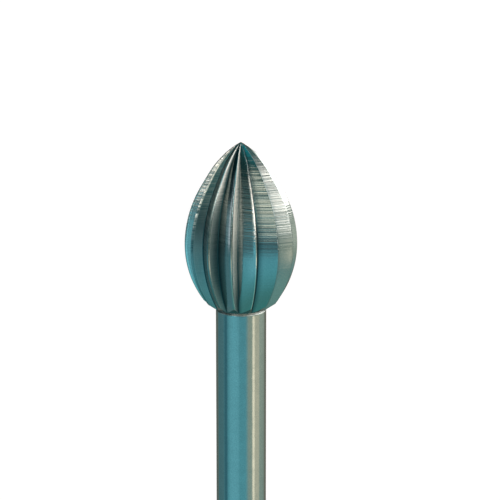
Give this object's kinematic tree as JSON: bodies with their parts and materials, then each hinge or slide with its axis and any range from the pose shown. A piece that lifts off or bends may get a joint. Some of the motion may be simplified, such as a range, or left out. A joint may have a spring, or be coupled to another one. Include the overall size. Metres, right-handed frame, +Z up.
{
  "type": "jewelry bur",
  "caption": "Bud-shaped jewelry bur: one turned and ground steel piece, with a plain round shank and straight saw-tooth cutting flutes that run together in a sharp point.",
  "frame": {"origin": "middle of the tool's own box, on the flat surface that it lies on", "axes": "+X along the tool from the shank's free end to the point, which lies 2 degrees off the tool's axis because the head is thicker than the shank; +Z up, away from the surface; +Y to the left seen from the shank's end"},
  "size_m": [0.0446, 0.0052, 0.0051],
  "materials": {
    "tool_steel": "ground tool steel: fine ground shank, fine turning lines across the teeth, matt rake faces"
  },
  "bodies": {
    "root": {"bur": "tool_steel"}
  },
  "joints": []
}
